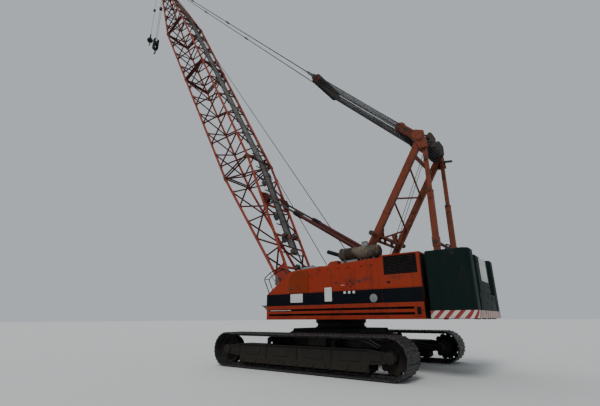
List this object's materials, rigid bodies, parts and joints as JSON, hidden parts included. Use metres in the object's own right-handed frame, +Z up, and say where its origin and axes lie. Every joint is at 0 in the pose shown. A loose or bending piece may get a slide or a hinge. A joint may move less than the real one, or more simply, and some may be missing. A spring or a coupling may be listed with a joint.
{
  "type": "crawler crane",
  "caption": "Crawler crane with a lattice boom at its working angle, gantry, two hooks, cab with a door and rear counterweight.",
  "frame": {"origin": "on the swing axis, at ground level under the tracks", "axes": "+X forward along the tracks and the boom, +Y to the left, +Z up"},
  "size_m": [23.0356, 5.9, 29.6711],
  "materials": {
    "worn_steel": "worn steel with dried mud",
    "undercarriage_paint": "dark paint with mud",
    "weight_paint": "dark green paint, satin",
    "sign_white": "satin",
    "muffler_steel": "rusty heat-stained steel",
    "dark_steel": "matt",
    "gantry_paint": "weathered red-brown paint",
    "rigging_steel": "greased steel",
    "walkway_steel": "galvanised",
    "boom_paint": "weathered orange-red paint",
    "body_paint": "weathered orange paint"
  },
  "bodies": {
    "undercarriage": {"track_left": "worn_steel", "track_right": "worn_steel", "track_frame_left": "undercarriage_paint", "track_frame_right": "undercarriage_paint", "sprocket_left": "undercarriage_paint", "sprocket_right": "undercarriage_paint", "idler_left": "undercarriage_paint", "idler_right": "undercarriage_paint", "rollers_left": "undercarriage_paint", "rollers_right": "undercarriage_paint", "travel_drive_left": "undercarriage_paint", "travel_drive_right": "undercarriage_paint", "carbody": "undercarriage_paint", "swing_ring": "undercarriage_paint"},
    "upper": {"deck_frame": "dark_steel", "side_rail_left": "body_paint", "side_rail_right": "body_paint", "house_left": "body_paint", "house_right": "body_paint", "engine_hood": "body_paint", "engine_block": "dark_steel", "counterweight_left": "weight_paint", "counterweight_right": "weight_paint", "counterweight_middle": "weight_paint", "sign_plate": "sign_white", "muffler": "muffler_steel", "winch_drums": "dark_steel", "cab_shell": "body_paint", "cab_seat": "dark_steel", "gantry_front_legs": "gantry_paint", "gantry_rear_posts": "gantry_paint", "gantry_head": "gantry_paint", "luffing_sheaves": "rigging_steel", "luffing_bail": "gantry_paint"},
    "boom": {"boom_base": "boom_paint", "boom_insert_long": "boom_paint", "boom_insert_short": "boom_paint", "boom_top": "boom_paint", "head_sheaves": "rigging_steel", "walkway": "walkway_steel", "pendants": "rigging_steel", "equaliser": "rigging_steel"},
    "cab_door": {"cab_door": "body_paint"},
    "main_hook": {"hook_block": "rigging_steel"},
    "ball": {"ball_hook": "rigging_steel"},
    "stop_barrel_left": {"backstop_barrel_left": "gantry_paint"},
    "stop_barrel_right": {"backstop_barrel_right": "gantry_paint"},
    "stop_rod_left": {"backstop_rod_left": "rigging_steel"},
    "stop_rod_right": {"backstop_rod_right": "rigging_steel"}
  },
  "joints": [
    {"name": "swing", "type": "hinge", "parent": "undercarriage", "child": "upper", "pos_m": [0, 0, 0], "axis": [0, 0, 1], "continuous": true},
    {"name": "boom_luff", "type": "hinge", "parent": "upper", "child": "boom", "pos_m": [1.5, 0, 2.14], "axis": [0, -1, 0], "range_deg": [-31, 19]},
    {"name": "main_hook_hang", "type": "hinge", "parent": "boom", "child": "main_hook", "pos_m": [16.277, 0, 28.79841], "axis": [0, -1, 0], "range_deg": [-19, 31]},
    {"name": "ball_hook_hang", "type": "hinge", "parent": "boom", "child": "ball", "pos_m": [17.42252, 0, 29.42112], "axis": [0, -1, 0], "range_deg": [-19, 31]},
    {"name": "stop_pivot_left", "type": "hinge", "parent": "upper", "child": "stop_barrel_left", "pos_m": [-1.57637, 0.7, 3.71868], "axis": [0, -1, 0], "range_deg": [-21.5, 13.2]},
    {"name": "stop_pivot_right", "type": "hinge", "parent": "upper", "child": "stop_barrel_right", "pos_m": [-1.57637, -0.7, 3.71868], "axis": [0, -1, 0], "range_deg": [-21.5, 13.2]},
    {"name": "stop_slide_left", "type": "slide", "parent": "stop_barrel_left", "child": "stop_rod_left", "axis": [0.8347, 0, 0.5507], "range_m": [-0.96, 1.56]},
    {"name": "stop_slide_right", "type": "slide", "parent": "stop_barrel_right", "child": "stop_rod_right", "axis": [0.8347, 0, 0.5507], "range_m": [-0.96, 1.56]},
    {"name": "cab_door_hinge", "type": "hinge", "parent": "upper", "child": "cab_door", "pos_m": [0.896, -1.842, 2.5], "axis": [0, 0, -1], "range_deg": [0, 95]}
  ],
  "couplings": [
    {"joint": "main_hook_hang", "follows": "boom_luff", "ratio": -1},
    {"joint": "ball_hook_hang", "follows": "boom_luff", "ratio": -1},
    {"joint": "stop_pivot_left", "follows": "boom_luff", "ratio": 0.69},
    {"joint": "stop_pivot_right", "follows": "boom_luff", "ratio": 0.69},
    {"joint": "stop_slide_left", "follows": "boom_luff", "m_per_rad": -2.85},
    {"joint": "stop_slide_right", "follows": "boom_luff", "m_per_rad": -2.85}
  ]
}
